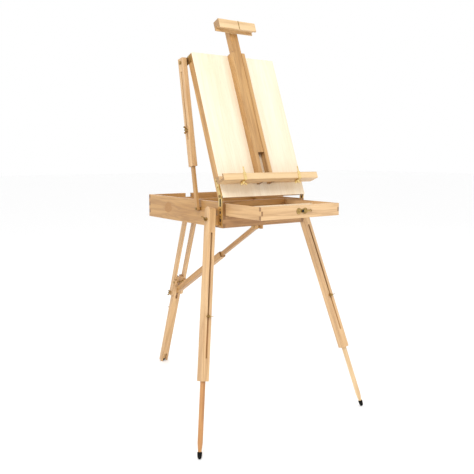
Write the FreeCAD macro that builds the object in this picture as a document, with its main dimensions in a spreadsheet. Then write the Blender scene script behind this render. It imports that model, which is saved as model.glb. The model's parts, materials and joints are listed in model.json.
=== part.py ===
"""French box easel: a sketch box on three telescopic legs, with a tilting lid that carries
the canvas mast. +X is the painter's right, +Y the back, +Z up; the feet stand on Z = 0."""
import FreeCAD, Part
import math
import os
import re

from FreeCAD import Placement, Rotation, Vector

doc = FreeCAD.newDocument("french_box_easel")
sheet = doc.addObject("Spreadsheet::Sheet", "dims")

# Driving dimensions in millimetres and degrees.
DIMS = {
    "box_wide": 376, "box_deep": 560, "box_tall": 92, "box_base": 741, "wall": 12,
    "finger": 15, "ply": 4, "floor_lift": 4, "rail_tall": 41, "partition_at": 306,
    "notch_wide": 30, "notch_deep": 17, "origin_back": 302.07,
    "drawer_wide": 350, "drawer_tall": 44, "drawer_deep": 300, "drawer_out": 205,
    "drawer_base": 784, "drawer_front_thick": 12, "drawer_side_thick": 8,
    "catch_z": 808, "catch_half": 14,
    "hinge_y": 13, "hinge_z": 853, "lid_tilt": 21.5, "lid_top": 550, "lid_foot": 10,
    "lid_rail_foot": 3, "lid_back": 19.5, "lid_face": 16,
    "guide_foot": 34, "guide_front": 45.5, "guide_thick": 12, "guide_gap": 18.4,
    "mast_half": 18, "mast_foot": 150, "mast_top": 666, "mast_front": 43,
    "ledge_half": 214, "ledge_low": 33, "ledge_high": 57, "ledge_front": 81, "ledge_back": 34,
    "clip_at": 124, "clip_thick": 1.4, "clip_high": 80,
    "clamp_half": 84, "clamp_low": 629, "clamp_high": 664, "clamp_front": 80,
    "plate_thick": 1.6,
    "strut_y": 148, "strut_z": 801, "strut_gap": 3, "sleeve_thick": 20, "sleeve_wide": 33,
    "sleeve_low": 157, "sleeve_high": 559, "strut_rod_thick": 10, "strut_rod_wide": 16,
    "strut_bolt": 292, "strut_top": 533, "strut_back": 38,
    "leg_x": 217, "leg_y": 37, "leg_z": 770, "foot_x": 381, "foot_y": -146, "foot_ball": 7,
    "leg_thick": 30, "leg_rise": 46, "leg_end": 557, "leg_slot_top": 44, "leg_slot_end": 481,
    "leg_bolt": 340, "rod_radius": 9, "rear_rod_radius": 7, "rod_gap": 0.2,
    "rear_y": 539.5, "rear_z": 718, "rear_foot_y": 805.2, "rear_knee": 373.7,
    "rear_thick": 22, "rear_half": 18, "rail_thick": 12, "tongue": 85, "rear_end": 762,
    "rear_bolt": 470, "rear_slot_end": 700, "foot_notch_half": 9, "foot_notch_tall": 40,
    "brace_y": 48, "brace_z": 734, "brace_wide": 14, "brace_deep": 16,
    "collar_at": 274, "collar_wide": 26, "collar_deep": 24,
    "bolt_radius": 3, "knee_radius": 4, "running": 0.05, "pin_play": 2,
}


def fill_sheet():
    for row, (alias, value) in enumerate(DIMS.items(), start=1):
        sheet.set(f"A{row}", alias)
        sheet.set(f"B{row}", str(value))
        sheet.setAlias(f"B{row}", alias)
    doc.recompute()


fill_sheet()


def size(alias):
    return float(sheet.get(alias))


def bind(obj, **expressions):
    """Bind properties to expressions in which a bare word is a cell of the sheet."""
    for prop, text in expressions.items():
        full = re.sub(r"[a-z][a-z_]+", lambda word: "dims." + word.group(), str(text))
        obj.setExpression(prop.replace("__", "."), full)
    return obj


counter = {"made": 0}


def add(kind, hint="piece"):
    counter["made"] += 1
    return doc.addObject(kind, f"{hint}_{counter['made']}")


def block(low, high):
    """A box between two corners, each an (x, y, z) of sheet expressions."""
    box = add("Part::Box", "block")
    spans = [f"({b}) - ({a})" for a, b in zip(low, high)]
    bind(box, Length=spans[0], Width=spans[1], Height=spans[2])
    bind(box, Placement__Base__x=low[0], Placement__Base__y=low[1], Placement__Base__z=low[2])
    return box


TURNS = {
    "x": Rotation(Vector(0, 1, 0), 90), "y": Rotation(Vector(1, 0, 0), -90),
    "z": Rotation(), "-x": Rotation(Vector(0, 1, 0), -90),
    "-y": Rotation(Vector(1, 0, 0), 90), "-z": Rotation(Vector(1, 0, 0), 180),
}


def turned(obj, along, at):
    obj.Placement = Placement(Vector(), TURNS[along])
    bind(obj, Placement__Base__x=at[0], Placement__Base__y=at[1], Placement__Base__z=at[2])
    return obj


def rod(radius, length, at, along="z"):
    shaft = add("Part::Cylinder", "rod")
    bind(shaft, Radius=radius, Height=length)
    return turned(shaft, along, at)


def cone(radius, end_radius, length, at, along="z"):
    taper = add("Part::Cone", "cone")
    bind(taper, Radius1=radius, Radius2=end_radius, Height=length)
    return turned(taper, along, at)


def ball(radius, at):
    sphere = add("Part::Sphere", "ball")
    bind(sphere, Radius=radius)
    return turned(sphere, "z", at)


def joined(*pieces):
    if len(pieces) == 1:
        return pieces[0]
    union = add("Part::MultiFuse", "joined")
    union.Shapes = list(pieces)
    return union


def grouped(*pieces):
    """Separate solids kept together as one sub-part, as a set of like screws."""
    group = add("Part::Compound", "group")
    group.Links = list(pieces)
    return group


def cut(base, *tools):
    result = add("Part::Cut", "cut")
    result.Base = base
    result.Tool = joined(*tools)
    return result


def rounded(base, radius, along, shortest=10):
    """Fillet the long straight edges that run along one axis of the base's own frame."""
    doc.recompute()
    picked = []
    for number, edge in enumerate(base.Shape.Edges, start=1):
        if edge.Curve.TypeId != "Part::GeomLine" or edge.Length < shortest:
            continue
        if edge.tangentAt(edge.FirstParameter).cross(Vector(*along)).Length < 1e-6:
            picked.append((number, radius, radius))
    result = add("Part::Fillet", "rounded")
    result.Base = base
    result.Edges = picked
    return result


sub_parts = {}
box_fasteners = []
BOX_FRAME = Placement(Vector(0, -size("origin_back"), 0), Rotation())


def name_part(label, obj, frame=BOX_FRAME):
    """Give a finished shape its label and put its own frame where it belongs."""
    holder = obj if obj.TypeId == "Part::Compound" else grouped(obj)
    holder.Label = label
    holder.Placement = frame
    sub_parts[label] = holder
    return holder


def mirrored_x(side, low, high):
    """The X corners of a span given on the right, moved to the left when side is -1."""
    if side > 0:
        return low, high
    return f"-({high})", f"-({low})"


def side_block(side, low, high):
    x_low, x_high = mirrored_x(side, low[0], high[0])
    return block((x_low, low[1], low[2]), (x_high, high[1], high[2]))


def side_rod(side, radius, length, at):
    """A cylinder that runs outward along X from a point given on the right."""
    x = at[0] if side > 0 else f"-({at[0]})"
    return rod(radius, length, (x, at[1], at[2]), "x" if side > 0 else "-x")


SIDES = {"left": -1, "right": 1}


def frame_along(origin, up, side_axis=Vector(1, 0, 0)):
    """A frame whose Z runs along up and whose X stays as near side_axis as it can."""
    z_axis = Vector(up).normalize()
    y_axis = z_axis.cross(side_axis).normalize()
    x_axis = y_axis.cross(z_axis)
    shifted = Vector(origin) + BOX_FRAME.Base
    return Placement(shifted, Rotation(x_axis, y_axis, z_axis, "ZXY"))


tilt = math.radians(size("lid_tilt"))
LID_FRAME = frame_along(
    Vector(0, size("hinge_y"), size("hinge_z")), Vector(0, math.sin(tilt), math.cos(tilt)))


def leg_frame(side):
    pivot = Vector(side * size("leg_x"), size("leg_y"), size("leg_z"))
    foot = Vector(side * size("foot_x"), size("foot_y"), size("foot_ball"))
    up = pivot - foot
    return frame_along(pivot, up, Vector(0, 1, 0).cross(up).normalize()), up.Length


REAR_PIVOT = Vector(0, size("rear_y"), size("rear_z"))
REAR_FOOT = Vector(0, size("rear_foot_y"), size("foot_ball"))
REAR_LONG = (REAR_PIVOT - REAR_FOOT).Length
REAR_FRAME = frame_along(REAR_PIVOT, REAR_PIVOT - REAR_FOOT)
KNEE = REAR_PIVOT + (REAR_FOOT - REAR_PIVOT).normalize() * size("rear_knee")
BRACE_PIVOT = Vector(0, size("brace_y"), size("brace_z"))
BRACE_LONG = (BRACE_PIVOT - KNEE).Length
BRACE_FRAME = frame_along(BRACE_PIVOT, BRACE_PIVOT - KNEE)


def lid_point(x, out, up):
    """A point given on the lid: out from the hinge line towards the painter, up the lid."""
    local = Vector(x, -out, up)
    return LID_FRAME.multVec(local) - BOX_FRAME.Base


STRUT_FOOT = Vector(0, size("strut_y"), size("strut_z"))
STRUT_HEAD = lid_point(0, -size("strut_back"), size("strut_top"))
STRUT_FRAME = frame_along(STRUT_FOOT, STRUT_HEAD - STRUT_FOOT)
STRUT_LONG = (STRUT_HEAD - STRUT_FOOT).Length


# ---------------------------------------------------------------- the sketch box

def finger_slots(x_low, x_high, y_low, y_high, base, count, first):
    """Every second finger of a corner joint, as cutting blocks."""
    slots = []
    for number in range(first, count, 2):
        low = f"{base} + {number} * finger"
        slots.append(block((x_low, y_low, low), (x_high, y_high, f"{low} + finger")))
    return slots


def make_box():
    half, inner = "box_wide / 2", "box_wide / 2 - wall"
    top = "box_base + box_tall"
    fingers = 6
    for name, side in SIDES.items():
        wall = side_block(side, (inner, "0", "box_base"), (half, "box_deep", top))
        low, high = mirrored_x(side, inner, half)
        slots = finger_slots(low, high, "box_deep - wall", "box_deep", "box_base", fingers, 1)
        slots += finger_slots(low, high, "0", "wall", "box_base", 3, 1)
        bolt_hole = joined(rod("bolt_radius + running", "60", ("0", "0", "0")),
                           rod("7.5", "24", ("0", "0", "0")))
        bolt_hole.Placement = leg_bolt_line(side)
        name_part(f"box_{name}_side", cut(wall, bolt_hole, *slots))
    back = block((f"-({half})", "box_deep - wall", "box_base"), (half, "box_deep", top))
    slots = []
    for side in SIDES.values():
        low, high = mirrored_x(side, inner, half)
        slots += finger_slots(low, high, "box_deep - wall", "box_deep", "box_base", fingers, 0)
        slots.append(block((low, "box_deep - wall", "box_base + 6 * finger"),
                           (high, "box_deep", top)))
    notch = block(("-notch_wide / 2", "box_deep - wall", f"{top} - notch_deep"),
                  ("notch_wide / 2", "box_deep", top))
    name_part("box_back_wall", cut(back, notch, *slots))
    rail = block((f"-({half})", "0", "box_base"), (half, "wall", "box_base + rail_tall"))
    slots = []
    for side in SIDES.values():
        low, high = mirrored_x(side, inner, half)
        slots.append(block((low, "0", "box_base"), (high, "wall", "box_base + finger")))
        slots.append(block((low, "0", "box_base + 2 * finger"),
                           (high, "wall", "box_base + rail_tall")))
    name_part("box_front_rail", cut(rail, *slots))
    floor = "box_base + floor_lift"
    name_part("box_floor", block((f"-({inner})", "wall", floor),
                                 (inner, "box_deep - wall", f"{floor} + ply")))
    name_part("box_partition", block(
        (f"-({inner})", "partition_at", f"{floor} + ply"),
        (inner, "partition_at + 8", f"{top} - 8")))
    runners = [side_block(side, ("box_wide / 2 - wall - 12", "wall", f"{floor} + ply"),
                          (inner, "partition_at", "drawer_base - 0.5")) for side in SIDES.values()]
    name_part("drawer_runners", grouped(*runners))


def leg_bolt_line(side):
    """The leg's pivot line, starting inside the box and running outward."""
    frame, _ = leg_frame(side)
    outward = frame.Rotation.multVec(Vector(side, 0, 0))
    start = frame.Base - BOX_FRAME.Base - outward * 60
    return Placement(start, Rotation(Vector(0, 0, 1), outward))


# ---------------------------------------------------------------- the drawer

def make_drawer():
    half = "drawer_wide / 2"
    front, back = "-drawer_out", "-drawer_out + drawer_deep"
    low, high = "drawer_base", "drawer_base + drawer_tall"
    face = f"{front} + drawer_front_thick"
    board = block((f"-({half})", front, low), (half, face, high))
    slots = []
    for side in SIDES.values():
        x_low, x_high = mirrored_x(side, f"{half} - drawer_side_thick", half)
        slots.append(block((x_low, front, f"{low} + finger"), (x_high, face, f"{low} + 2 * finger")))
    name_part("drawer_front", cut(board, *slots))
    for name, side in SIDES.items():
        board = side_block(side, (f"{half} - drawer_side_thick", front, low), (half, back, high))
        x_low, x_high = mirrored_x(side, f"{half} - drawer_side_thick", half)
        slots = [block((x_low, front, low), (x_high, face, f"{low} + finger")),
                 block((x_low, front, f"{low} + 2 * finger"), (x_high, face, high))]
        name_part(f"drawer_{name}_side", cut(board, *slots))
    inner = f"{half} - drawer_side_thick"
    name_part("drawer_back", block((f"-({inner})", f"{back} - 8", low), (inner, back, high)))
    name_part("drawer_floor", block((f"-({inner})", face, f"{low} + 3"),
                                    (inner, f"{back} - 8", f"{low} + 3 + ply")))
    name_part("drawer_divider", block((f"-({inner})", "-drawer_out + 130", f"{low} + 3 + ply"),
                                      (inner, "-drawer_out + 135", f"{high} - 8")))


def make_drawer_catch():
    """An oval plate with two screws, a turning hook on it and a keeper on the box."""
    front = "-drawer_out"
    plate = joined(
        block(("-catch_half", f"{front} - 1.2", "catch_z - 11"), ("catch_half", front, "catch_z + 11")),
        rod("11", "1.2", ("-catch_half", front, "catch_z"), "-y"),
        rod("11", "1.2", ("catch_half", front, "catch_z"), "-y"))
    post = rod("2.5", "6.2", ("0", f"{front} - 1.2", "catch_z"), "-y")
    rivets = [rod("3.2", "1.4", (f"{side} * (catch_half + 3)", f"{front} - 1.2", "catch_z"), "-y")
              for side in SIDES.values()]
    name_part("drawer_catch_plate", joined(plate, post, *rivets))
    eye = rod("6", "2.6", ("0", f"{front} - 3", "catch_z"), "-y")
    arm = block(("0", f"{front} - 5.6", "catch_z - 3"), ("36", f"{front} - 3", "catch_z + 3"))
    lobe = rod("4.5", "2.6", ("36", f"{front} - 3", "catch_z"), "-y")
    bite = rod("2.3", "4", ("36", f"{front} - 2.5", "catch_z"), "-y")
    gap = block(("33.8", f"{front} - 6", "catch_z - 6"), ("38.2", f"{front} - 2.5", "catch_z"))
    hole = rod("2.5 + running", "4", ("0", f"{front} - 2.5", "catch_z"), "-y")
    name_part("drawer_catch_hook", cut(joined(eye, arm, lobe), bite, gap, hole))
    keeper_z = "catch_z - 36"
    name_part("drawer_catch_keeper", joined(
        block(("-8", "-1.2", f"{keeper_z} - 9"), ("8", "0", f"{keeper_z} + 7")),
        rod("2", "5.4", ("0", "-1.2", keeper_z), "-y"),
        rod("3.2", "0.8", ("0", "-6.2", keeper_z), "-y")))


# ---------------------------------------------------------------- the lid and the canvas holder

def make_lid():
    half, inner = "box_wide / 2", "box_wide / 2 - wall"
    front = "-lid_face + ply"
    for name, side in SIDES.items():
        name_part(f"lid_{name}_rail", side_block(
            side, (inner, front, "-lid_rail_foot"), (half, "lid_back", "lid_top")), LID_FRAME)
    name_part("lid_top_rail", block((f"-({inner})", front, "lid_top - wall"),
                                    (inner, "lid_back", "lid_top")), LID_FRAME)
    name_part("lid_bottom_rail", block((f"-({inner})", front, "-lid_rail_foot"),
                                       (inner, "lid_back", "wall - lid_rail_foot")), LID_FRAME)
    name_part("lid_panel", block((f"-({half})", "-lid_face", "-lid_foot"),
                                 (half, front, "lid_top")), LID_FRAME)
    guides = []
    for side in SIDES.values():
        guide = side_block(side, ("guide_gap", "-guide_front", "guide_foot"),
                           ("guide_gap + guide_thick", "-lid_face", "lid_top"))
        lip = side_block(side, ("guide_gap - 4", "-guide_front", "guide_foot"),
                         ("guide_gap", "-guide_front + 2", "lid_top"))
        guides.append(joined(guide, lip))
    name_part("mast_guides", grouped(*guides), LID_FRAME)


def make_mast():
    mast = block(("-mast_half", "-mast_front", "mast_foot"),
                 ("mast_half", "-lid_face - 0.6", "mast_top"))
    name_part("mast", rounded(mast, 1.5, (0, 0, 1)), LID_FRAME)
    neck = block(("-13.5", "-guide_front - 1", "clamp_low"), ("13.5", "-mast_front", "clamp_high"))
    bar = block(("-clamp_half", "-clamp_front", "clamp_low"),
                ("clamp_half", "-guide_front - 0.5", "clamp_high"))
    groove = block(("-clamp_half", "-clamp_front + 7", "clamp_low"),
                   ("clamp_half", "-guide_front - 6", "clamp_low + 10"))
    screw_hole = rod("bolt_radius + running", "14", ("0", "-54", "clamp_high - 14"))
    clamp = joined(cut(rounded(bar, 2, (1, 0, 0)), groove, screw_hole), neck)
    name_part("top_clamp_bar", clamp, LID_FRAME)
    screw = joined(rod("bolt_radius", "16", ("0", "-54", "clamp_high - 14")),
                   rod("7", "6", ("0", "-54", "clamp_high + 2")),
                   rod("4.5", "2", ("0", "-54", "clamp_high")))
    name_part("top_clamp_thumb_screw", screw, LID_FRAME)


def make_ledge():
    plank = block(("-ledge_half", "-ledge_front", "ledge_low"),
                  ("ledge_half", "-ledge_back", "ledge_high"))
    guide_notch = block(("-guide_gap - guide_thick - 1", "-guide_front", "ledge_low - 1"),
                        ("guide_gap + guide_thick + 1", "-ledge_back", "ledge_high + 1"))
    shelf = rounded(cut(plank, guide_notch), 1.5, (1, 0, 0))
    trough = block(("-ledge_half", "-ledge_front + 7", "ledge_low + 9"),
                   ("ledge_half", "-guide_front - 6", "ledge_high"))
    tools = [trough]
    for side in SIDES.values():
        tools.append(rod("bolt_radius + running", "12", (f"{side} * clip_at", "-64", "ledge_low - 1")))
    name_part("canvas_ledge", cut(shelf, *tools), LID_FRAME)
    for name, side in SIDES.items():
        make_clip(name, side)
    low = "ledge_low - clip_thick - 0.3"
    screws = [wing_shape((f"{side} * clip_at", "-64", low), "-z", shank="9") for side in SIDES.values()]
    name_part("canvas_clip_screws", grouped(*screws), LID_FRAME)


def make_clip(name, side):
    """A brass strap under the ledge that turns up in front of the lip, and its screw."""
    low, front = "ledge_low - clip_thick", "ledge_front + clip_thick"
    centre = f"{side} * clip_at"
    under = block((f"{centre} - 6", f"-({front})", low), (f"{centre} + 6", "-52", "ledge_low"))
    up = block((f"{centre} - 6", f"-({front})", low), (f"{centre} + 6", "-ledge_front", "ledge_high + 3"))
    tongue = block((f"{centre} - 2.5", f"-({front})", "ledge_high"),
                   (f"{centre} + 2.5", "-ledge_front", "clip_high"))
    rivet = rod("2.6", "1", (centre, f"-({front})", "ledge_low + 14"), "-y")
    slot = joined(
        block((f"{centre} - 3.2", "-64", f"{low} - 1"), (f"{centre} + 3.2", "-56", "ledge_low + 1")),
        rod("3.2", "4", (centre, "-64", f"{low} - 1")), rod("3.2", "4", (centre, "-56", f"{low} - 1")))
    name_part(f"canvas_clip_{name}", cut(joined(under, up, tongue, rivet), slot), LID_FRAME)


def wing_shape(at, along, shank="0", bore="0"):
    """A wing nut, or a wing screw when it has a shank: hub, two raised wings, round lobes."""
    hub = cone("6", "4", "8", ("0", "0", "0"))
    parts = [hub]
    for side in SIDES.values():
        arm = add("Part::Wedge", "wing")
        arm.Xmin, arm.Xmax, arm.Ymin, arm.Ymax = 0, 10, -1, 1
        arm.Zmin, arm.Zmax, arm.X2min, arm.X2max = 1.5, 11, 0, 10
        arm.Z2min, arm.Z2max = 1.5, 11
        arm.Placement = Placement(Vector(), Rotation(Vector(0, 1, 0), 22 if side < 0 else -22))
        if side < 0:
            arm.Placement = Placement(Vector(), Rotation(Vector(0, 0, 1), 180)).multiply(
                Placement(Vector(), Rotation(Vector(0, 1, 0), -22)))
        parts.append(arm)
        lobe = rod("4.6", "2", (f"{side} * 9.5", "1", "8.8"), "-y")
        parts.append(lobe)
    if shank != "0":
        parts.append(rod("bolt_radius", f"{shank} + 2", ("0", "0", f"-({shank})")))
    shape = joined(*parts)
    if bore != "0":
        shape = cut(shape, rod(bore, "20", ("0", "0", "-1")))
    return turned(shape, along, at)


# ---------------------------------------------------------------- lid hinges and struts

def make_lid_hinges():
    """Slotted plates on the box's sides, straps on the lid's sides and pins between them."""
    half = "box_wide / 2"
    outer = f"{half} + plate_thick"
    strap_in = f"{outer} + 0.3"
    strap_out = f"{strap_in} + plate_thick"
    plates, straps, lid_heads = [], [], []
    for side in SIDES.values():
        plate = joined(side_block(side, (half, "2", "box_base + 7"), (outer, "24", "hinge_z")),
                       side_rod(side, "11", "plate_thick", (half, "hinge_y", "hinge_z")))
        slots = []
        for low, high in ((76, 103), (50, 60), (22, 33)):
            slots.append(side_block(side, (f"{half} - 1", "10", f"box_base + {low}"),
                                    (f"{outer} + 1", "16", f"box_base + {high}")))
            for z in (low, high):
                slots.append(side_rod(side, "3", "plate_thick + 2",
                                      (f"{half} - 1", "13", f"box_base + {z}")))
        slots.append(side_rod(side, "bolt_radius + running", "plate_thick + 2",
                              (f"{half} - 1", "hinge_y", "hinge_z")))
        plates.append(cut(plate, *slots))
        strap = joined(side_block(side, (strap_in, "-7", "0"), (strap_out, "7", "66")),
                       side_rod(side, "9", "plate_thick", (strap_in, "0", "0")),
                       side_block(side, (half, "-7", "22"), (strap_in, "7", "66")))
        bore = side_rod(side, "bolt_radius + running", "6", (f"{half} - 1", "0", "0"))
        straps.append(cut(strap, bore))
        lid_heads += [side_rod(side, "3", "1.2", (strap_out, "0", z)) for z in ("34", "56")]
        lid_heads += [side_rod(side, "3", "1.2", (outer, "4", f"strut_top + {z}")) for z in (-8, 8)]
        for z in (12, 41, 67):
            box_fasteners.append(side_rod(side, "3.2", "1.5", (outer, "13", f"box_base + {z}")))
        box_fasteners.append(joined(
            side_rod(side, "bolt_radius", "plate_thick * 2 + 1", (f"{half} + 0.2", "hinge_y", "hinge_z")),
            side_rod(side, "5", "2", (f"{strap_out} + 0.3", "hinge_y", "hinge_z"))))
    name_part("lid_hinge_plates", grouped(*plates))
    name_part("lid_hinge_straps", grouped(*straps), LID_FRAME)
    name_part("lid_screws", grouped(*lid_heads), LID_FRAME)


def make_struts():
    """Slotted sleeves that slide on narrower rods, pinned to the box and to the lid."""
    near = "box_wide / 2 + strut_gap"
    middle = f"{near} + sleeve_thick / 2"
    far = f"{near} + sleeve_thick"
    rod_in = f"{middle} - strut_rod_thick / 2"
    rod_out = f"{middle} + strut_rod_thick / 2"
    ears, screws = [], []
    for name, side in SIDES.items():
        body = side_block(side, (near, "-sleeve_wide / 2", "sleeve_low"),
                          (far, "sleeve_wide / 2", "sleeve_high"))
        hollow = side_block(side, (f"{rod_in} - rod_gap", "-strut_rod_wide / 2 - rod_gap", "sleeve_low"),
                            (f"{rod_out} + rod_gap", "strut_rod_wide / 2 + rod_gap", "sleeve_high - 40"))
        slot = side_block(side, (rod_out, "-3.2", "strut_bolt - 35"),
                          (f"{far} + 1", "3.2", "sleeve_high - 50"))
        pin_hole = side_rod(side, "bolt_radius + pin_play", "sleeve_thick + 2",
                            (f"{near} - 1", "0", str(STRUT_LONG)))
        name_part(f"strut_sleeve_{name}", cut(rounded(body, 2, (0, 0, 1)), hollow, slot, pin_hole),
                  STRUT_FRAME)
        bar = joined(side_block(side, (rod_in, "-strut_rod_wide / 2", "0"),
                                (rod_out, "strut_rod_wide / 2", "strut_bolt + 12")),
                     side_rod(side, "strut_rod_wide / 2", "strut_rod_thick", (rod_in, "0", "0")))
        bores = [side_rod(side, "bolt_radius + running", "30", (f"{near} - 5", "0", "0")),
                 side_rod(side, "bolt_radius + running", "30", (f"{near} - 5", "0", "strut_bolt"))]
        name_part(f"strut_rod_{name}", cut(bar, *bores), STRUT_FRAME)
        shank = f"{far} + 0.6 - ({rod_in})"
        screws.append(wing_shape((f"{side} * ({far} + 0.6)", "0", "strut_bolt"),
                                 "x" if side > 0 else "-x", shank=shank))
        box_fasteners.append(joined(
            side_rod(side, "bolt_radius", f"{rod_out} + 1 - box_wide / 2",
                     ("box_wide / 2", "strut_y", "strut_z")),
            side_rod(side, "7", f"{rod_in} - 0.3 - box_wide / 2", ("box_wide / 2", "strut_y", "strut_z")),
            side_rod(side, "5", "2.5", (f"{rod_out} + 0.3", "strut_y", "strut_z"))))
        ears.append(joined(
            side_block(side, ("box_wide / 2", "-6", "strut_top - 14"),
                       ("box_wide / 2 + plate_thick", "strut_back", "strut_top + 14")),
            side_rod(side, "14", "plate_thick", ("box_wide / 2", "strut_back", "strut_top")),
            side_rod(side, "bolt_radius", f"{far} + 1 - box_wide / 2",
                     ("box_wide / 2", "strut_back", "strut_top")),
            side_rod(side, "6.5", "2.5", (f"{far} + 0.4", "strut_back", "strut_top"))))
    name_part("strut_ears", grouped(*ears), LID_FRAME)
    name_part("strut_wing_screws", grouped(*screws), STRUT_FRAME)


# ---------------------------------------------------------------- front legs

def foot_rod(label, frame, radius, length, bolt_at):
    """A round rod with a tapered end, bored across for its clamping screw."""
    shaft = rod(radius, f"{length} - 45 - ({bolt_at}) + 18", ("0", "0", f"-{length} + 45"))
    taper = cone("5.2", radius, "35", ("0", "0", f"-{length} + 10"))
    tip = rod("5.2", "10", ("0", "0", f"-{length}"))
    bore = rod("bolt_radius + running", "30", ("0", "15", f"-({bolt_at})"), "-y")
    socket = ball("foot_ball", ("0", "0", f"-{length}"))
    name_part(label, cut(joined(shaft, taper, tip), bore, socket), frame)


def make_front_leg(name, side):
    frame, long = leg_frame(side)
    length = f"{long:.3f}"
    half = "leg_thick / 2"
    body = joined(block((f"-{half}", f"-{half}", "-leg_end"), (half, half, "leg_rise - leg_thick / 2")),
                  rod(half, "leg_thick", (f"-{half}", "0", "leg_rise - leg_thick / 2"), "x"))
    hollow = rod("rod_radius + rod_gap", "leg_end - leg_slot_top", ("0", "0", "-leg_end"))
    slot = block(("-3.2", "-leg_thick / 2 - 1", "-leg_slot_end"), ("3.2", "0", "-leg_slot_top - 4"))
    pivot = rod("bolt_radius + running", "leg_thick + 2", ("-leg_thick / 2 - 1", "0", "0"), "x")
    name_part(f"front_{name}_leg", cut(rounded(body, 2, (0, 0, 1)), hollow, slot, pivot), frame)
    foot_rod(f"front_{name}_foot_rod", frame, "rod_radius", length, "leg_bolt")
    name_part(f"front_{name}_foot", ball("foot_ball", ("0", "0", f"-{length}")), frame)
    screw = wing_shape(("0", "-leg_thick / 2 - 0.6", "-leg_bolt"), "-y",
                       shank="leg_thick / 2 + rod_radius")
    name_part(f"front_{name}_slide_screw", screw, frame)
    out = "x" if side > 0 else "-x"
    nut = wing_shape((f"{side} * (leg_thick / 2 + 0.6)", "0", "0"), out, bore="bolt_radius + running")
    name_part(f"front_{name}_pivot_wing_nut", nut, frame)


def make_leg_blocks():
    """The wooden blocks glued on the box: the splayed leg seats and the rear hinge blocks."""
    blocks = []
    for side in SIDES.values():
        frame, _ = leg_frame(side)
        wedge = grouped(side_block(-side, ("leg_thick / 2 + 0.3", "-8", "-18"),
                                   ("leg_thick / 2 + 26", "14", "18")))
        wedge.Placement = Placement(frame.Base - BOX_FRAME.Base, frame.Rotation)
        bore = grouped(rod("bolt_radius + running", "80", ("0", "0", "0")))
        bore.Placement = leg_bolt_line(side)
        inside = side_block(side, ("0", "-60", "600"), ("box_wide / 2", "140", "900"))
        blocks.append(cut(wedge, inside, bore))
        bolt = joined(rod("bolt_radius", "leg_thick / 2 + 48", ("0", "0", "20")),
                      rod("7", "3", ("0", "0", "20")))
        bolt.Placement = leg_bolt_line(side)
        box_fasteners.append(bolt)
    under = "box_base + floor_lift"
    rear = cut(block(("-rear_half", "rear_y - 18", "rear_z - 13"), ("rear_half", "rear_y + 18", under)),
               block(("-rear_half", "box_deep - wall", "box_base"),
                     ("rear_half", "rear_y + 18", under)),
               rod("knee_radius + running", "80", ("-40", "rear_y", "rear_z"), "x"))
    blocks.append(rear)
    for side in SIDES.values():
        cheek = side_block(side, ("brace_wide / 2 + 0.4", "brace_y - 16", "brace_z - 11"),
                           ("brace_wide / 2 + 9", "brace_y + 16", under))
        blocks.append(cut(cheek, rod("bolt_radius + running", "60", ("-30", "brace_y", "brace_z"), "x")))
    name_part("leg_blocks", grouped(*blocks))
    box_fasteners.append(joined(
        rod("bolt_radius", "36", ("-18", "brace_y", "brace_z"), "x"),
        rod("5", "2", ("-18.2", "brace_y", "brace_z"), "x"),
        rod("5", "2", ("16.2", "brace_y", "brace_z"), "x")))
    box_fasteners.append(joined(
        rod("knee_radius", "2 * (rear_half + rail_thick + 2)",
            ("-(rear_half + rail_thick + 2)", "rear_y", "rear_z"), "x"),
        rod("6", "2.5", ("-(rear_half + rail_thick + 4)", "rear_y", "rear_z"), "x"),
        rod("6", "2.5", ("rear_half + rail_thick + 1.5", "rear_y", "rear_z"), "x")))


# ---------------------------------------------------------------- rear leg and its brace

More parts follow.
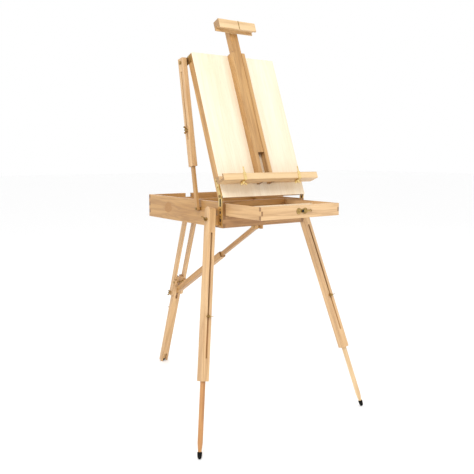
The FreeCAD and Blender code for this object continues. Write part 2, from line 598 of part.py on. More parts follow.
def make_rear_leg():
    knee = "rear_knee"
    half = "rear_thick / 2"
    stop = (f"-{half} - 3.4", f"-{knee} + 62")
    rails = []
    for side in SIDES.values():
        low, high = "rear_half + 0.3", "rear_half + 0.3 + rail_thick"
        rail = joined(
            side_block(side, (low, f"-{half}", f"-{knee} - 4"), (high, half, "0")),
            side_rod(side, half, "rail_thick", (low, "0", "0")),
            side_rod(side, half, "rail_thick", (low, "0", f"-{knee} - 4")),
            side_block(side, (low, f"-{half} - 9", f"-{knee} + 50"), (high, "0", f"-{knee} + 74")))
        bores = [side_rod(side, "knee_radius + running", "rail_thick + 4", (f"{low} - 2", "0", z))
                 for z in ("0", f"-{knee}")]
        bores.append(side_rod(side, "bolt_radius + running", "rail_thick + 4", (f"{low} - 2", *stop)))
        rails.append(cut(rail, *bores))
    name_part("rear_rails", grouped(*rails), REAR_FRAME)
    name_part("rear_stop_bolt", joined(
        rod("bolt_radius", "2 * (rear_half + rail_thick + 2)",
            ("-(rear_half + rail_thick + 2)", *stop), "x"),
        rod("5", "3", ("-(rear_half + rail_thick + 3.5)", *stop), "x"),
        rod("5", "3", ("rear_half + rail_thick + 0.5", *stop), "x")), REAR_FRAME)
    body = block(("-rear_half", f"-{half}", "-rear_end"), ("rear_half", half, f"-{knee} + tongue"))
    tools = [
        rod("rear_rod_radius + rod_gap", "rear_end - rear_bolt + 24", ("0", "0", "-rear_end")),
        block(("-3.2", "0", "-rear_slot_end"), ("3.2", f"{half} + 1", "-rear_bolt + 5")),
        block(("-5.5", f"-{half} - 1", f"-{knee} - 31"), ("5.5", f"{half} + 1", f"-{knee} + tongue + 1")),
        rod("knee_radius + running", "50", ("-25", "0", f"-{knee}"), "x"),
        block(("-foot_notch_half", f"-{half} - 1", "-rear_end - 1"),
              ("foot_notch_half", "0", "-rear_end + foot_notch_tall")),
    ]
    name_part("rear_lower_leg", cut(rounded(body, 2, (0, 0, 1)), *tools), REAR_FRAME)
    length = f"{REAR_LONG:.3f}"
    foot_rod("rear_foot_rod", REAR_FRAME, "rear_rod_radius", length, "rear_bolt")
    name_part("rear_foot", ball("foot_ball", ("0", "0", f"-{length}")), REAR_FRAME)
    screw = wing_shape(("0", "rear_thick / 2 + 0.6", "-rear_bolt"), "y",
                       shank="rear_thick / 2 + rear_rod_radius")
    name_part("rear_slide_screw", screw, REAR_FRAME)
    reach = "rear_half + rail_thick + 1"
    knee_screw = joined(wing_shape((f"-({reach})", "0", f"-{knee}"), "-x"),
                        rod("knee_radius", f"2 * ({reach})", (f"-({reach})", "0", f"-{knee}"), "x"),
                        rod("7", "3", (reach, "0", f"-{knee}"), "x"))
    name_part("rear_knee_wing_bolt", knee_screw, REAR_FRAME)


def make_brace():
    """A bar that slides in a longer collar bar, from under the box to the rear leg's knee."""
    wide, deep = "brace_wide / 2", "brace_deep / 2"
    upper = joined(block((f"-{wide}", f"-{deep}", "-440"), (wide, deep, "0")),
                   rod(deep, "brace_wide", (f"-{wide}", "0", "0"), "x"))
    pivot = rod("bolt_radius + running", "40", ("-20", "0", "0"), "x")
    name_part("brace_upper_bar", cut(upper, pivot), BRACE_FRAME)
    length = f"{BRACE_LONG:.3f}"
    outer = block(("-collar_wide / 2", "-collar_deep / 2", f"-{length} + 42"),
                  ("collar_wide / 2", "collar_deep / 2", "-collar_at"))
    tenon = joined(block(("-5", f"-{deep}", f"-{length}"), ("5", deep, f"-{length} + 43")),
                   rod(deep, "10", ("-5", "0", f"-{length} - 3"), "x"),
                   block(("-5", f"-{deep}", f"-{length} - 3"), ("5", deep, f"-{length} + 1")))
    hollow = block((f"-{wide} - rod_gap", f"-{deep} - rod_gap", f"-{length} + 70"),
                   (f"{wide} + rod_gap", f"{deep} + rod_gap", "-collar_at"))
    eye = joined(block(("-8", "-knee_radius - 1", f"-{length} - 3"),
                       ("8", "knee_radius + 1", f"-{length} + 3")),
                 rod("knee_radius + 1", "16", ("-8", "0", f"-{length} - 3"), "x"),
                 rod("knee_radius + 1", "16", ("-8", "0", f"-{length} + 3"), "x"))
    lower = cut(joined(rounded(outer, 2.5, (0, 0, 1)), tenon), hollow, eye)
    name_part("brace_lower_bar", lower, BRACE_FRAME)


def make_handle():
    """A leather strap handle screwed on the box's right side."""
    wall, level = "box_wide / 2", "box_base + 71"
    near, far = "250", "390"
    tabs = [side_block(1, (wall, start, f"{level} - 11"), (f"{wall} + 4", f"{start} + 30", f"{level} + 11"))
            for start in (near, f"{far} - 30")]
    rises = [side_block(1, (wall, start, f"{level} - 11"), (f"{wall} + 20", f"{start} + 4", f"{level} + 11"))
             for start in (f"{near} + 26", f"{far} - 30")]
    grip = side_block(1, (f"{wall} + 16", f"{near} + 26", f"{level} - 11"),
                      (f"{wall} + 20", f"{far} - 26", f"{level} + 11"))
    name_part("carry_handle", joined(grip, *tabs, *rises))
    for y in (f"{near} + 12", f"{far} - 12"):
        box_fasteners.append(side_rod(1, "3.2", "1.5", (f"{wall} + 4", y, level)))


make_box()
make_drawer()
make_drawer_catch()
make_lid()
make_mast()
make_ledge()
make_lid_hinges()
make_struts()
for leg_name, leg_side in SIDES.items():
    make_front_leg(leg_name, leg_side)
make_leg_blocks()
make_rear_leg()
make_brace()
make_handle()
name_part("box_fasteners", grouped(*box_fasteners))
doc.recompute()

for obj in doc.Objects:
    if "Invalid" in obj.State or "Error" in obj.State:
        raise RuntimeError(f"{obj.Name} failed: {obj.State}")
for label, obj in sub_parts.items():
    if obj.Shape.isNull() or not obj.Shape.isValid() or not obj.Shape.Solids:
        raise RuntimeError(f"{label} has no valid solid")

os.makedirs("parts", exist_ok=True)
for label, obj in sub_parts.items():
    obj.Shape.exportStep(os.path.join("parts", f"{label}.step"))
print(len(sub_parts), "sub-parts")
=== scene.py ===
"""The looks of the french box easel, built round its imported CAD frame."""
import json
import math
import bpy
import bmesh
from mathutils import Matrix, Vector


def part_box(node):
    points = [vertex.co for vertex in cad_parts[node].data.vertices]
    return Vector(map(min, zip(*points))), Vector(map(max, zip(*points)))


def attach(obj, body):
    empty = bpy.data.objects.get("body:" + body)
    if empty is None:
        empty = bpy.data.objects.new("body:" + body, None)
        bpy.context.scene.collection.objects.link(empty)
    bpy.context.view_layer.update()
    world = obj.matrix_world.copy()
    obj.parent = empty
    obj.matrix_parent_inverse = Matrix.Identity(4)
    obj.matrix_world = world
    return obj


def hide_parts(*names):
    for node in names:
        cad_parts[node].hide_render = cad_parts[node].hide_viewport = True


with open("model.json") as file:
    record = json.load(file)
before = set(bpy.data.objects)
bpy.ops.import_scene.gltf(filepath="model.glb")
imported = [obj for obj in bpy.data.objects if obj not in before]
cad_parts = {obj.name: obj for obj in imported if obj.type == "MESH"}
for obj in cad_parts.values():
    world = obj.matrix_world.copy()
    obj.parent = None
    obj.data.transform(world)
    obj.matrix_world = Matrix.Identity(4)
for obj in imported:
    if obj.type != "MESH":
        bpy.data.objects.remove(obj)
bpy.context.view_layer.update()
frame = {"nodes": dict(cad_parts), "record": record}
MM = 0.001

# ------------------------------------------------------------------ directions of the members

TILT = math.radians(21.5)
UP_LID = Vector((0, math.sin(TILT), math.cos(TILT)))
JOINTS = {joint["name"]: joint for joint in frame["record"]["behaviour"]["joints"]}


def joint_axis(name):
    return Vector(JOINTS[name]["axis"])


def joint_at(name):
    return Vector(JOINTS[name]["pos_m"])


X, Y, Z = Vector((1, 0, 0)), Vector((0, 1, 0)), Vector((0, 0, 1))
STRUT = joint_axis("strut_slide")
REAR = joint_axis("rear_extend")
BRACE = joint_axis("brace_slide")
LEG = {side: joint_axis(f"leg_{side}_extend") for side in ("left", "right")}

# ------------------------------------------------------------------ materials


class Nodes:
    """Small helper that adds and links shader nodes of one material."""

    def __init__(self, name):
        self.material = bpy.data.materials.new(name)
        self.material.use_nodes = True
        self.tree = self.material.node_tree
        self.shader = self.tree.nodes["Principled BSDF"]

    def add(self, kind, **settings):
        node = self.tree.nodes.new("ShaderNode" + kind)
        for key, value in settings.items():
            setattr(node, key, value)
        return node

    def link(self, start, end):
        self.tree.links.new(start, end)

    def scaled(self, source, scale):
        node = self.add("Mapping")
        node.inputs["Scale"].default_value = scale
        self.link(source, node.inputs["Vector"])
        return node.outputs["Vector"]

    def noise(self, vector, scale, detail=4.0, rough=0.55, distort=0.0):
        node = self.add("TexNoise")
        node.inputs["Scale"].default_value = scale
        node.inputs["Detail"].default_value = detail
        node.inputs["Roughness"].default_value = rough
        node.inputs["Distortion"].default_value = distort
        self.link(vector, node.inputs["Vector"])
        return node.outputs["Fac"]

    def ramp(self, value, *stops):
        node = self.add("ValToRGB")
        elements = node.color_ramp.elements
        while len(elements) < len(stops):
            elements.new(0.5)
        for element, (place, color) in zip(elements, stops):
            element.position = place
            element.color = (*color, 1) if isinstance(color, tuple) else (color,) * 3 + (1,)
        self.link(value, node.inputs["Fac"])
        return node.outputs["Color"]

    def mix(self, factor, first, second, blend="MIX"):
        node = self.add("Mix", data_type="RGBA", blend_type=blend)
        for socket, value in ((0, factor), (6, first), (7, second)):
            if isinstance(value, (int, float)):
                node.inputs[socket].default_value = value
            elif isinstance(value, tuple):
                node.inputs[socket].default_value = (*value, 1)
            else:
                self.link(value, node.inputs[socket])
        return node.outputs[2]

    def math(self, operation, first, second=0.0):
        node = self.add("Math", operation=operation)
        for socket, value in ((0, first), (1, second)):
            if isinstance(value, (int, float)):
                node.inputs[socket].default_value = value
            else:
                self.link(value, node.inputs[socket])
        return node.outputs[0]

    def bump(self, height, strength, distance):
        node = self.add("Bump")
        node.inputs["Strength"].default_value = strength
        node.inputs["Distance"].default_value = distance
        self.link(height, node.inputs["Height"])
        self.link(node.outputs["Normal"], self.shader.inputs["Normal"])

    def color(self, source):
        self.link(source, self.shader.inputs["Base Color"])

    def roughness(self, source, low, high):
        node = self.add("MapRange")
        node.inputs["To Min"].default_value = low
        node.inputs["To Max"].default_value = high
        self.link(source, node.inputs["Value"])
        self.link(node.outputs["Result"], self.shader.inputs["Roughness"])


# Tones of wood as (light, middle, dark).
BEECH = ((0.63, 0.375, 0.145), (0.47, 0.245, 0.075), (0.24, 0.100, 0.026))
BLOND = ((0.74, 0.495, 0.260), (0.62, 0.375, 0.165), (0.32, 0.150, 0.050))
AMBER = ((0.56, 0.275, 0.095), (0.44, 0.190, 0.055), (0.24, 0.085, 0.020))
CREAM = ((0.80, 0.59, 0.34), (0.71, 0.48, 0.230), (0.42, 0.22, 0.080))
PALE = ((0.93, 0.83, 0.66), (0.88, 0.75, 0.55), (0.66, 0.49, 0.29))
# Darker tones for the front rail under the drawer: painted shade, for the shadow that falls there.
RAIL_PAINTED_SHADE = ((0.50, 0.28, 0.115), (0.40, 0.205, 0.072), (0.20, 0.080, 0.022))


def grain_basis(grain):
    """Rotation that turns the grain's direction onto X."""
    side = X if abs(grain.dot(X)) < 0.7 else Z
    other = grain.cross(side).normalized()
    side = other.cross(grain).normalized()
    return Matrix((grain.normalized(), side, other))


def wood(name, grain, tones=BEECH, shift=0.0, knot=None, figure=1.0):
    """Varnished wood whose growth bands, fibres and pores run along the grain.

    tones are (light, middle, dark), and figure is how strongly the bands show.
    """
    n = Nodes(name)
    place = n.add("TexCoord").outputs["Object"]
    turn = n.add("Mapping")
    turn.inputs["Rotation"].default_value = grain_basis(grain).to_euler()
    turn.inputs["Location"].default_value = (shift * 3.1, shift * 1.7, shift * 2.3)
    n.link(place, turn.inputs["Vector"])
    along = turn.outputs["Vector"]
    light, middle, dark = tones
    wander = n.noise(n.scaled(along, (2.2, 14.0, 14.0)), 1.0, 3.0)
    bands = n.noise(n.scaled(along, (3.4, 62.0, 52.0)), 1.0, 2.5, 0.5, 0.5)
    fibre = n.noise(n.scaled(along, (9.0, 420.0, 420.0)), 1.0, 5.0, 0.65)
    pores = n.noise(n.scaled(along, (70.0, 1300.0, 1300.0)), 1.0, 2.0, 0.5)
    base = n.mix(n.ramp(wander, (0.30, 0.0), (0.72, 1.0)), light, middle)
    streak = n.ramp(bands, (0.44, 0.0), (0.56, 1.0), (0.60, 0.25), (0.72, 0.9))
    base = n.mix(n.math("MULTIPLY", streak, 0.46 * figure), base, dark)
    base = n.mix(n.math("MULTIPLY", n.ramp(fibre, (0.45, 0.0), (0.75, 1.0)), 0.30), base, dark)
    base = n.mix(n.math("MULTIPLY", n.ramp(pores, (0.62, 0.0), (0.74, 1.0)), 0.28), base,
                 tuple(0.55 * c for c in dark))
    if knot:
        base = add_knot(n, place, base, knot)
    n.color(end_grain(n, grain, base, dark))
    n.roughness(fibre, 0.34, 0.52)
    n.shader.inputs["Coat Weight"].default_value = 0.18
    n.shader.inputs["Coat Roughness"].default_value = 0.28
    n.bump(fibre, 0.22, 0.0006)
    return n.material


def end_grain(n, grain, base, dark):
    """Faces across the grain drink more varnish, so they are darker."""
    facing = n.add("VectorMath", operation="DOT_PRODUCT")
    n.link(n.add("TexCoord").outputs["Normal"], facing.inputs[0])
    facing.inputs[1].default_value = grain.normalized()
    across = n.ramp(n.math("ABSOLUTE", facing.outputs["Value"]), (0.80, 0.0), (0.95, 1.0))
    return n.mix(n.math("MULTIPLY", across, 0.80), base, tuple(0.7 * c for c in dark))


def add_knot(n, place, base, knot):
    """Darker, ringed heartwood round a knot, given as (centre, reach along Y and Z, tone)."""
    centre, reach, tone = knot
    move = n.add("Mapping")
    move.inputs["Location"].default_value = (0, -centre.y / reach[0], -centre.z / reach[1])
    move.inputs["Scale"].default_value = (0, 1 / reach[0], 1 / reach[1])
    n.link(place, move.inputs["Vector"])
    size = n.add("VectorMath", operation="LENGTH")
    n.link(move.outputs["Vector"], size.inputs[0])
    ragged = n.math("ADD", size.outputs["Value"], n.math(
        "MULTIPLY", n.noise(n.scaled(place, (1, 30, 60)), 1.0, 3.0), 0.7))
    halo = n.ramp(ragged, (0.92, 1.0), (1.12, 0.0))
    wave = n.math("SINE", n.math("MULTIPLY", ragged, 26.0))
    rings = n.math("MULTIPLY", n.math("ADD", wave, 1.0), 0.5)
    stain = n.math("MULTIPLY", halo, n.math("ADD", n.math("MULTIPLY", rings, 0.30), 0.70))
    return n.mix(stain, base, tone)


def brass(name, bright, dull, spot):
    """Cloudy brass with small dark spots."""
    n = Nodes(name)
    place = n.add("TexCoord").outputs["Object"]
    cloud = n.noise(place, 55.0, 4.0, 0.6)
    spots = n.noise(place, 420.0, 3.0, 0.5)
    tone = n.mix(n.ramp(cloud, (0.35, 0.0), (0.68, 1.0)), bright, dull)
    n.color(n.mix(n.math("MULTIPLY", n.ramp(spots, (0.60, 0.0), (0.78, 1.0)), 0.5), tone,
                  spot))
    n.shader.inputs["Metallic"].default_value = 1.0
    n.roughness(cloud, 0.24, 0.46)
    n.bump(spots, 0.10, 0.0003)
    return n.material


def rubber():
    n = Nodes("black_rubber")
    place = n.add("TexCoord").outputs["Object"]
    grit = n.noise(place, 900.0, 3.0, 0.6)
    dust = n.noise(place, 60.0, 3.0, 0.6)
    dusty = n.ramp(dust, (0.45, 0.0), (0.80, 1.0))
    n.color(n.mix(dusty, (0.004, 0.004, 0.004), (0.014, 0.013, 0.012)))
    n.shader.inputs["Specular IOR Level"].default_value = 0.10
    n.roughness(grit, 0.55, 0.78)
    n.bump(grit, 0.25, 0.0003)
    return n.material


def leather():
    n = Nodes("brown_leather")
    place = n.add("TexCoord").outputs["Object"]
    cells = n.add("TexVoronoi", feature="DISTANCE_TO_EDGE")
    cells.inputs["Scale"].default_value = 850.0
    n.link(place, cells.inputs["Vector"])
    wear = n.noise(place, 34.0, 4.0, 0.6)
    worn = n.ramp(wear, (0.35, 0.0), (0.75, 1.0))
    n.color(n.mix(worn, (0.16, 0.065, 0.025), (0.30, 0.14, 0.06)))
    n.roughness(wear, 0.42, 0.62)
    n.bump(cells.outputs["Distance"], 0.35, 0.0006)
    return n.material


BRASS = brass("aged_brass", (0.50, 0.33, 0.12), (0.20, 0.125, 0.045), (0.05, 0.032, 0.015))
PLATE = brass("plated_brass", (0.83, 0.64, 0.30), (0.66, 0.47, 0.18), (0.30, 0.20, 0.07))
RUBBER, LEATHER = rubber(), leather()

# The knot on the box's left side: its centre, its reach along Y and Z, and its tone.
KNOT_CENTRE = Vector((0, 90 * MM, 788 * MM))
KNOT_REACH = (52 * MM, 36 * MM)
KNOT_TONE = (0.38, 0.175, 0.038)
KNOT = (KNOT_CENTRE, KNOT_REACH, KNOT_TONE)

WOODEN = {
    "box_left_side": dict(grain=Y, knot=KNOT), "box_right_side": dict(grain=Y),
    # The front rail's darker tones are painted shade from the drawer above it.
    "box_back_wall": dict(grain=X), "box_front_rail": dict(grain=X, tones=RAIL_PAINTED_SHADE),
    "box_floor": dict(grain=Y, tones=PALE), "box_partition": dict(grain=X),
    "drawer_runners": dict(grain=Y), "leg_blocks": dict(grain=Z),
    "drawer_front": dict(grain=X, tones=BLOND), "drawer_left_side": dict(grain=Y, tones=BLOND),
    "drawer_right_side": dict(grain=Y, tones=BLOND), "drawer_back": dict(grain=X),
    "drawer_floor": dict(grain=Y, tones=PALE), "drawer_divider": dict(grain=X, tones=PALE),
    "lid_panel": dict(grain=UP_LID, tones=PALE, figure=0.4),
    "lid_left_rail": dict(grain=UP_LID), "lid_right_rail": dict(grain=UP_LID),
    "lid_top_rail": dict(grain=X), "lid_bottom_rail": dict(grain=X),
    "mast_guides": dict(grain=UP_LID), "canvas_ledge": dict(grain=X, tones=CREAM),
    "mast": dict(grain=UP_LID), "top_clamp_bar": dict(grain=X, tones=CREAM),
    "strut_rod_left": dict(grain=STRUT), "strut_rod_right": dict(grain=STRUT),
    "strut_sleeve_left": dict(grain=STRUT, tones=BLOND),
    "strut_sleeve_right": dict(grain=STRUT, tones=BLOND),
    "front_left_leg": dict(grain=LEG["left"], tones=BLOND),
    "front_right_leg": dict(grain=LEG["right"], tones=BLOND),
    "front_left_foot_rod": dict(grain=LEG["left"], tones=AMBER),
    "front_right_foot_rod": dict(grain=LEG["right"], tones=CREAM),
    "rear_rails": dict(grain=REAR, tones=BLOND), "rear_lower_leg": dict(grain=REAR, tones=BLOND),
    "rear_foot_rod": dict(grain=REAR, tones=CREAM),
    "brace_upper_bar": dict(grain=BRACE), "brace_lower_bar": dict(grain=BRACE),
}


# How far worn edges are rounded, and how far each piece's figure is shifted from the last's.
WOOD_EDGE = 0.9 * MM
METAL_EDGE = 0.25 * MM
LEATHER_EDGE = 1.3 * MM
CAST_EDGE = 0.35 * MM
FIGURE_STEP = 0.37


def set_material(obj, material):
    obj.data.materials.clear()
    obj.data.materials.append(material)


def soften_edges(obj, width):
    """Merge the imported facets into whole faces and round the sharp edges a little."""
    weld = obj.modifiers.new("weld", "WELD")
    weld.merge_threshold = 1e-5
    flat = obj.modifiers.new("whole faces", "DECIMATE")
    flat.decimate_type = "DISSOLVE"
    flat.angle_limit = math.radians(0.6)
    bevel = obj.modifiers.new("worn edges", "BEVEL")
    bevel.width = width
    bevel.segments = 2
    bevel.limit_method = "ANGLE"
    bevel.angle_limit = math.radians(35)
    bevel.use_clamp_overlap = True
    bevel.harden_normals = True


for index, (node, settings) in enumerate(WOODEN.items()):
    piece = frame["nodes"][node]
    set_material(piece, wood(f"wood_{node}", shift=index * FIGURE_STEP, **settings))
    soften_edges(piece, WOOD_EDGE)

METAL = ("lid_hinge_plates", "lid_hinge_straps", "box_fasteners", "lid_screws", "strut_ears",
         "drawer_catch_plate", "drawer_catch_hook", "drawer_catch_keeper", "canvas_clip_left",
         "canvas_clip_right", "rear_stop_bolt")
PLATED = ("lid_hinge_plates", "lid_hinge_straps", "canvas_clip_left", "canvas_clip_right")
for node in METAL:
    set_material(frame["nodes"][node], PLATE if node in PLATED else BRASS)
    soften_edges(frame["nodes"][node], METAL_EDGE)

# ------------------------------------------------------------------ mesh helpers


def new_piece(name, mesh_maker, material, smooth=True):
    mesh = bpy.data.meshes.new(name)
    work = bmesh.new()
    mesh_maker(work)
    bmesh.ops.recalc_face_normals(work, faces=work.faces)
    work.to_mesh(mesh)
    work.free()
    obj = bpy.data.objects.new(name, mesh)
    bpy.context.collection.objects.link(obj)
    set_material(obj, material)
    for face in mesh.polygons:
        face.use_smooth = smooth
    return obj


def lathe(work, outline, at, axis, steps=32):
    """A closed turned shape: outline is (distance along the axis, radius) pairs in metres."""
    axis = axis.normalized()
    side = (X if abs(axis.dot(X)) < 0.9 else Y).cross(axis).normalized()
    other = axis.cross(side)
    rings = []
    for along, radius in outline:
        ring = []
        for step in range(steps):
            angle = 2 * math.pi * step / steps
            out = side * math.cos(angle) + other * math.sin(angle)
            ring.append(work.verts.new(at + axis * along + out * radius))
        rings.append(ring)
    for low, high in zip(rings, rings[1:]):
        for step in range(steps):
            after = (step + 1) % steps
            work.faces.new((low[step], low[after], high[after], high[step]))
    work.faces.new(rings[0][::-1])
    work.faces.new(rings[-1])


# ------------------------------------------------------------------ wing nuts and screws

# One ear as (distance out from the axis, height along it) in millimetres.
WING_OUTLINE = ((3.4, 1.2), (7.6, 2.2), (11.4, 4.2), (13.6, 7.0), (14.3, 10.4), (13.2, 13.2),
                (10.6, 14.2), (8.4, 12.8), (6.8, 10.0), (4.4, 7.8), (2.2, 7.2))


def wings(work, at, axis, side, grow):
    """Two cast ears, thick at the hub and thin and rounded at the tips."""
    across = axis.cross(side).normalized()
    for sign in (-1, 1):
        faces = []
        for depth in (-1, 1):
            loop = []
            for out, up in WING_OUTLINE:
                thick = (2.0 - 0.075 * out) * MM * depth * 0.62
                loop.append(work.verts.new(
                    at + (side * (sign * out) + axis * up) * MM * grow + across * thick))
            faces.append(loop)
        front, back = faces
        work.faces.new(front)
        work.faces.new(back[::-1])
        for number in range(len(front)):
            after = (number + 1) % len(front)
            work.faces.new((front[number], back[number], back[after], front[after]))


def wing_fastener(node, body, spots, axis, side, shank, head=None, material=None, grow=1.0):
    """Wing nuts or screws in the place of a CAD node, at spots of (point, axis, shank radius).

    shank is how far the screw runs inward, and head is where a bolt's far head sits.
    """
    side = (side - axis * side.dot(axis)).normalized()

    def make(work):
        if head is not None:
            lathe(work, ((0, 0.0060), (0.0004, 0.0068), (0.0016, 0.0068), (0.0028, 0.0040),
                         (0.0030, 0.0015)), head, -axis)
        for at, out, radius in spots:
            lathe(work, ((-shank, radius), (-0.0004, radius), (0, 0.0058), (0.0012, 0.0061),
                         (0.0060, 0.0046), (0.0078, 0.0040), (0.0082, 0.0034)), at, out)
            lathe(work, ((0.0082, 0.0028), (0.0108, 0.0028), (0.0114, 0.0022)), at, out, 20)
            wings(work, at, out, side, grow)
    piece = new_piece(f"{node}_cast", make, material or BRASS)
    bevel = piece.modifiers.new("cast edges", "BEVEL")
    bevel.width = CAST_EDGE
    bevel.segments = 2
    bevel.limit_method = "ANGLE"
    bevel.angle_limit = math.radians(40)
    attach(piece, body)
    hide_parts(node)


LID_OUT = joint_axis("clip_left_slide")

# Millimetres from each joint's point to where its wing piece seats, just clear of the wood.
LEG_SEAT = 15.6
REAR_SEAT = 11.6
KNEE_SEAT = 31
STRUT_SEAT = 211.6
# Millimetres from the lid's hinge to the canvas clips' screws: out, up the lid and across it.
CLIP_OUT = 64
CLIP_UP = 31.3
CLIP_SIDE = 124


def make_fasteners():
    """Every wing nut and wing screw of the legs, the knee, the struts and the ledge."""
    for side in ("left", "right"):
        out = joint_axis(f"leg_{side}_screw_turn")
        at = joint_at(f"leg_{side}_screw_turn") + out * LEG_SEAT * MM
        wing_fastener(f"front_{side}_slide_screw", f"leg_{side}_screw", [(at, out, 0.003)], out,
                      LEG[side].cross(out), 24.6 * MM)
        out = joint_axis(f"leg_{side}_nut_turn")
        at = joint_at(f"leg_{side}_nut_turn") + out * LEG_SEAT * MM
        wing_fastener(f"front_{side}_pivot_wing_nut", f"leg_{side}_nut", [(at, out, 0.0058)], out,
                      Y + Z * 0.5, 0.3 * MM, grow=1.2)
    out = joint_axis("rear_screw_turn")
    at = joint_at("rear_screw_turn") + out * REAR_SEAT * MM
    wing_fastener("rear_slide_screw", "rear_screw", [(at, out, 0.003)], out, X, 18.6 * MM)
    at = joint_at("knee_bolt_turn")
    knee = [(at - X * KNEE_SEAT * MM, -X, 0.004)]
    wing_fastener("rear_knee_wing_bolt", "knee_bolt", knee, -X, REAR, 2 * KNEE_SEAT * MM,
                  at + X * KNEE_SEAT * MM)
    at = joint_at("strut_screw_turn")
    both = [(at + X * sign * STRUT_SEAT * MM, X * sign, 0.003) for sign in (-1, 1)]
    wing_fastener("strut_wing_screws", "strut_screws", both, X, STRUT, 15.6 * MM)
    seat = joint_at("lid_tilt") + LID_OUT * CLIP_OUT * MM + UP_LID * CLIP_UP * MM
    both = [(Vector((sign * CLIP_SIDE * MM, seat.y, seat.z)), -UP_LID, 0.003) for sign in (-1, 1)]
    wing_fastener("canvas_clip_screws", "lid", both, -UP_LID, X, 9 * MM, material=PLATE)


def knurled_screw():
    """The top clamp's screw: a plain shank and collar under a ridged head."""
    at, out = joint_at("clamp_screw_turn"), joint_axis("clamp_screw_turn")

    def make(work):
        lathe(work, ((-0.0135, 0.0029), (-0.0002, 0.0029), (0, 0.0044), (0.0018, 0.0044)), at, out)
        side = X
        other = out.cross(side)
        rings = []
        for along, radius in ((0.0018, 5.6), (0.0024, 6.6), (0.0065, 6.6), (0.0073, 5.8)):
            ring = []
            for step in range(72):
                angle = 2 * math.pi * step / 72
                reach = (radius + (0.35 if step % 3 == 0 else 0.0)) * MM
                ring.append(work.verts.new(
                    at + out * along + (side * math.cos(angle) + other * math.sin(angle)) * reach))
            rings.append(ring)
        for low, high in zip(rings, rings[1:]):
            for step in range(72):
                after = (step + 1) % 72
                work.faces.new((low[step], low[after], high[after], high[step]))
        work.faces.new(rings[0][::-1])
        work.faces.new(rings[-1])
    piece = new_piece("top_clamp_knurled_screw", make, BRASS, smooth=False)
    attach(piece, "clamp_screw")
    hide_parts("top_clamp_thumb_screw")


# Rubber feet as (distance along the leg from the ball's centre, radius) in metres.
FOOT_BALL = ((-0.0069, 0.0020), (-0.0066, 0.0036), (-0.0054, 0.0052), (-0.0034, 0.0064),
             (-0.0012, 0.0069), (0.0012, 0.0069), (0.0034, 0.0062), (0.0052, 0.0047),
             (0.0064, 0.0027), (0.0069, 0.0008))
FOOT_CUP = ((-0.0165, 0.0058), (-0.0162, 0.0070), (-0.0150, 0.0080), (-0.0115, 0.0083),
            (-0.0060, 0.0080), (-0.0020, 0.0074), (0.0012, 0.0068), (0.0035, 0.0060),
            (0.0052, 0.0046), (0.0064, 0.0026), (0.0069, 0.0008))


def make_feet():
    """Rubber cups on the front foot rods, and a ball in the rear rod's end."""
    for node, body, down, outline in (
            ("front_left_foot", "leg_left_rod", LEG["left"], FOOT_CUP),
            ("front_right_foot", "leg_right_rod", LEG["right"], FOOT_CUP),
            ("rear_foot", "rear_rod", REAR, FOOT_BALL)):
        low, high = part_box(node)
        centre = (Vector(low) + Vector(high)) / 2

        def make(work, centre=centre, down=down, outline=outline):
            lathe(work, outline, centre, down, 40)
        piece = new_piece(f"{node}_cup", make, RUBBER)
        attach(piece, body)
        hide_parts(node)


# Dark steel for the catch's knob; the same black also serves as painted shade in the hinge plates'
# slots.
def dark_steel_and_slot_shade():
    n = Nodes("dark_steel_and_painted_slot_shade")
    place = n.add("TexCoord").outputs["Object"]
    cloud = n.noise(place, 120.0, 4.0, 0.6)
    n.color(n.mix(cloud, (0.010, 0.009, 0.008), (0.028, 0.024, 0.020)))
    n.shader.inputs["Specular IOR Level"].default_value = 0.15
    n.roughness(cloud, 0.55, 0.75)
    n.bump(cloud, 0.12, 0.0003)
    return n.material


def slab(work, low, high):
    """A small flat bar between two corners, with its edges rounded."""
    made = bmesh.ops.create_cube(work, size=1)["verts"]
    size = [b - a for a, b in zip(low, high)]
    for vert in made:
        vert.co = Vector([a + (c + 0.5) * s for a, c, s in zip(low, vert.co, size)])
    edges = list({edge for vert in made for edge in vert.link_edges})
    bmesh.ops.bevel(work, geom=edges, offset=min(size) * 0.3, segments=2, affect="EDGES")


# In millimetres: half the width of the black bars of painted shade in the hinge plates' slots,
# their inner and outer faces from the middle of the box, and the lower and upper ends of the
# plates' slots above the box's base.
SLOT_SHADE_HALF = 4.6
SLOT_SHADE_FACES = (188.05, 189.75)
HINGE_SLOTS = ((22.3, 32.7), (50.3, 59.7), (76.3, 102.7))


def make_painted_slot_shade(material):
    """Black bars in the hinge plates' slots: painted shade, for the shadow inside the slots."""
    hinge = joint_at("lid_tilt")
    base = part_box("box_left_side")[0][2]

    def make(work):
        for sign in (-1, 1):
            inner, outer = sorted(sign * face * MM for face in SLOT_SHADE_FACES)
            for low, high in HINGE_SLOTS:
                slab(work, (inner, hinge.y - SLOT_SHADE_HALF * MM, base + low * MM),
                     (outer, hinge.y + SLOT_SHADE_HALF * MM, base + high * MM))
    slot_shade_bars = new_piece("hinge_slot_painted_shade", make, material, smooth=False)
    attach(slot_shade_bars, "box")


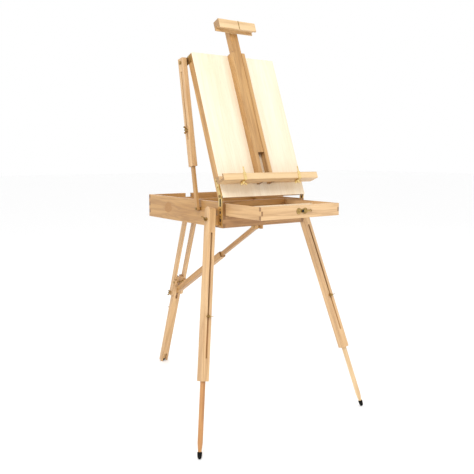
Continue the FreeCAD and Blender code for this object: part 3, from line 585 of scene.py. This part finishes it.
def make_catch(material):
    """The drawer's bow-tie plate, two dished lobes with raised centres, and its dark knob."""
    low, high = (Vector(corner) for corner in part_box("drawer_catch_plate"))
    centre = (low + high) / 2
    wall = high.y
    lobe = 14 * MM

    def make(work):
        for sign in (-1, 1):
            at = Vector((centre.x + sign * lobe, wall, centre.z))
            lathe(work, ((0, 0.0108), (0.0009, 0.0108), (0.0013, 0.0100), (0.0013, 0.0086),
                         (0.0007, 0.0078), (0.0007, 0.0052), (0.0012, 0.0045), (0.0019, 0.0040),
                         (0.0023, 0.0026)), at, -Y, 48)
        slab(work, (centre.x - lobe, wall - 1.15 * MM, centre.z - 6.5 * MM),
             (centre.x + lobe, wall, centre.z + 6.5 * MM))
    plate = new_piece("drawer_catch_dished_plate", make, BRASS)
    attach(plate, "drawer")

    def knob(work):
        at = Vector((centre.x, wall, centre.z))
        lathe(work, ((0.0012, 0.0035), (0.0029, 0.0024), (0.0056, 0.0024), (0.0058, 0.0046),
                     (0.0068, 0.0050), (0.0073, 0.0036)), at, -Y, 36)
    post = new_piece("drawer_catch_knob", knob, material)
    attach(post, "drawer")
    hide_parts("drawer_catch_plate")


def make_stitches():
    """Two rows of waxed thread along the outer face of the handle's grip."""
    n = Nodes("waxed_thread")
    twist = n.noise(n.add("TexCoord").outputs["Object"], 1500.0, 2.0, 0.5)
    n.color(n.mix(twist, (0.30, 0.20, 0.11), (0.46, 0.34, 0.20)))
    n.roughness(twist, 0.6, 0.8)
    low, high = (Vector(corner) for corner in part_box("carry_handle"))
    pitch, length, half, inset = 5.6 * MM, 3.8 * MM, 0.35 * MM, 2.6 * MM
    start, end = low.y + 34 * MM, high.y - 34 * MM

    def make(work):
        for level in (low.z + inset, high.z - inset):
            for number in range(int((end - start) / pitch)):
                at = start + number * pitch
                slab(work, (high.x - 0.2 * MM, at, level - half),
                     (high.x + 0.3 * MM, at + length, level + half))
    thread = new_piece("carry_handle_stitching", make, n.material)
    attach(thread, "box")


# Millimetres from the lid's hinge line: out to the top clamp's front face, and the strap's two
# ends along the lid and across it.
CLAMP_FACE = 80.0
STRAP_UP = (629.5, 663.6)
STRAP_SIDE = (4.0, 7.0)
STRAP_THICK = 0.6


def make_clamp_strap():
    """A thin brass strap near the middle of the top clamp, lying on its front face."""
    face = joint_at("lid_tilt") + LID_OUT * CLAMP_FACE * MM

    def make(work):
        corners = [work.verts.new(face + (LID_OUT * out + UP_LID * up + X * side) * MM)
                   for out in (0.0, STRAP_THICK) for up in STRAP_UP for side in STRAP_SIDE]
        for loop in ((0, 1, 3, 2), (4, 6, 7, 5), (0, 4, 5, 1), (2, 3, 7, 6), (0, 2, 6, 4),
                     (1, 5, 7, 3)):
            work.faces.new([corners[number] for number in loop])
    strap = new_piece("top_clamp_strap", make, BRASS, smooth=False)
    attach(strap, "mast")


DARK_STEEL_AND_SHADE = dark_steel_and_slot_shade()
make_fasteners()
knurled_screw()
make_feet()
# The black bars in the hinge plates' slots are painted shade.
make_painted_slot_shade(DARK_STEEL_AND_SHADE)
make_catch(DARK_STEEL_AND_SHADE)
make_clamp_strap()
make_stitches()

# ------------------------------------------------------------------ light, floor and camera

# The floor lies just under the feet, and reaches this far each way, in metres.
FLOOR_DROP = 0.5 * MM
FLOOR_HALF = 30


def make_floor():
    mesh = bpy.data.meshes.new("floor")
    work = bmesh.new()
    bmesh.ops.create_grid(work, x_segments=1, y_segments=1, size=FLOOR_HALF)
    work.to_mesh(mesh)
    work.free()
    obj = bpy.data.objects.new("floor", mesh)
    obj.location.z = -FLOOR_DROP
    bpy.context.collection.objects.link(obj)
    n = Nodes("studio_floor")
    n.shader.inputs["Base Color"].default_value = (0.98, 0.98, 0.98, 1)
    n.shader.inputs["Roughness"].default_value = 0.9
    set_material(obj, n.material)


def area_light(name, at, target, size, power):
    data = bpy.data.lights.new(name, "AREA")
    data.shape = "DISK"
    data.size = size
    data.energy = power
    obj = bpy.data.objects.new(name, data)
    obj.location = at
    obj.rotation_mode = "QUATERNION"
    obj.rotation_quaternion = (Vector(target) - Vector(at)).to_track_quat("-Z", "Y")
    bpy.context.collection.objects.link(obj)


CAMERA_AT = (-1.3867, -2.0887, 0.9936)
CAMERA_PITCH = math.radians(82.5)
CAMERA_HEADING = math.radians(-35.2)
CAMERA_LENS = 46.7
SENSOR_WIDTH = 36


def make_studio():
    make_floor()
    target = (0, 0, 0.8)
    area_light("key", (-2.4, -2.4, 3.2), target, size=1.2, power=60)
    area_light("fill", (2.6, -3.0, 1.6), target, size=2.6, power=12)
    area_light("back", (0.8, 3.4, 2.8), target, size=2.6, power=18)
    world = bpy.data.worlds.new("studio")
    bpy.context.scene.world = world
    world.use_nodes = True
    world.node_tree.nodes["Background"].inputs["Color"].default_value = (1, 1, 1, 1)
    world.node_tree.nodes["Background"].inputs["Strength"].default_value = 1.0
    scene = bpy.context.scene
    scene.view_settings.view_transform = "Standard"
    data = bpy.data.cameras.new("camera")
    data.sensor_width = SENSOR_WIDTH
    data.lens = CAMERA_LENS
    camera = bpy.data.objects.new("camera", data)
    camera.location = CAMERA_AT
    camera.rotation_euler = (CAMERA_PITCH, 0, CAMERA_HEADING)
    bpy.context.collection.objects.link(camera)
    scene.camera = camera


make_studio()
FEET = ("front_left_foot", "front_right_foot", "rear_foot")
for node in FEET:
    set_material(frame["nodes"][node], RUBBER)
set_material(frame["nodes"]["carry_handle"], LEATHER)
soften_edges(frame["nodes"]["carry_handle"], LEATHER_EDGE)
finished = {*WOODEN, *METAL, *FEET, "carry_handle"}
for node, cad in frame["nodes"].items():
    if node not in finished:
        set_material(cad, BRASS)

bpy.context.view_layer.update()
